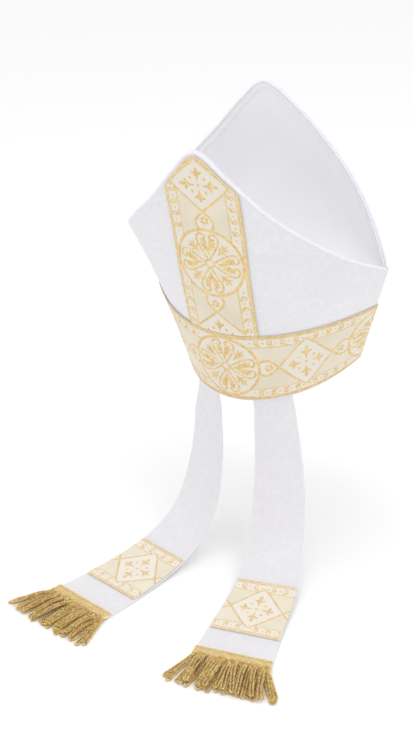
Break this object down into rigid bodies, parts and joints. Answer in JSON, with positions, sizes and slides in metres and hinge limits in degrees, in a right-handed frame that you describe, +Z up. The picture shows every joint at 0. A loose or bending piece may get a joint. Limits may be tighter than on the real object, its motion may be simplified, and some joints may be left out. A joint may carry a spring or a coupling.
{
  "type": "bishop mitre",
  "caption": "Tall two-pointed ceremonial hat with ribbon bands, open between its horns, and two fringed strips that hang from the back rim.",
  "frame": {"origin": "middle of the rim's opening, where the hat sits on the head", "axes": "+X to the wearer's left, -Y to the front, +Z up; the crown leans back 17 degrees about X, as worn"},
  "size_m": [0.2892, 0.3953, 0.4966],
  "materials": {
    "white_damask": "satin damask with tone-on-tone scrolls",
    "white_satin": "smooth satin",
    "white_piping": "matte piping",
    "orphrey_ribbon": "cream jacquard ribbon with gold metallic thread",
    "gold_bullion": "twisted metallic gold thread"
  },
  "bodies": {
    "root": {"back_panel": "white_damask", "front_panel": "white_damask", "crown_lining": "white_satin", "circlet_band": "orphrey_ribbon", "back_orphrey": "orphrey_ribbon", "front_orphrey": "orphrey_ribbon", "back_piping": "white_piping", "front_piping": "white_piping", "left_lappet": "white_damask", "right_lappet": "white_damask", "left_patch": "orphrey_ribbon", "right_patch": "orphrey_ribbon", "left_fringe": "gold_bullion", "right_fringe": "gold_bullion"}
  },
  "joints": []
}
